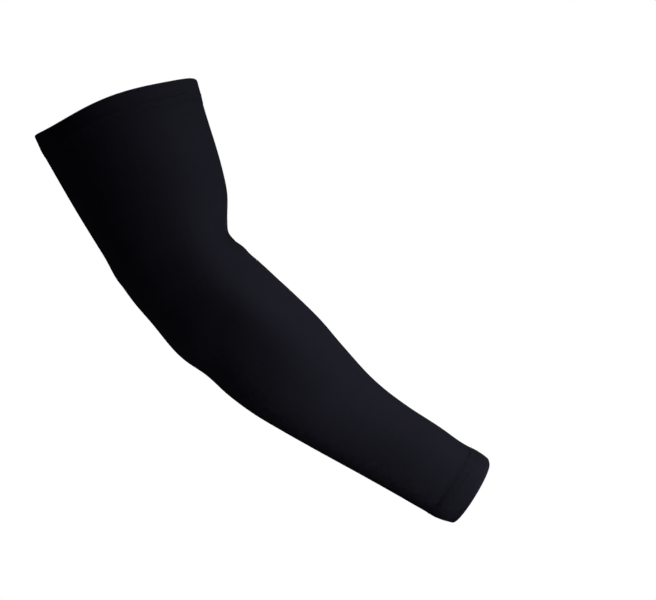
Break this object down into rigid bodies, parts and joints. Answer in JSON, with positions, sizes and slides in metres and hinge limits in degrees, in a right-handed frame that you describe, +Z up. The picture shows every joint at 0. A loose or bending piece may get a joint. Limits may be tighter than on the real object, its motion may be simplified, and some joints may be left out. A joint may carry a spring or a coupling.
{
  "type": "sun protection arm sleeve",
  "caption": "Close-fitting knitted sleeve for the arm, a tapered tube kept in the form of a bent arm, with a doubled hem at each opening.",
  "frame": {"origin": "centre of the upper opening, on the middle line of the arm", "axes": "+Z up with the arm hanging and bent as worn, +X to the front, the side of the elbow's crease, and +Y from the arm's outer side to its inner side"},
  "size_m": [0.3346, 0.1073, 0.3263],
  "materials": {
    "sleeve_knit": "matt fine knit, near black",
    "hem_knit": "matt fine knit, doubled, near black"
  },
  "bodies": {
    "root": {"sleeve_body": "sleeve_knit", "upper_hem": "hem_knit", "wrist_hem": "hem_knit"}
  },
  "joints": []
}
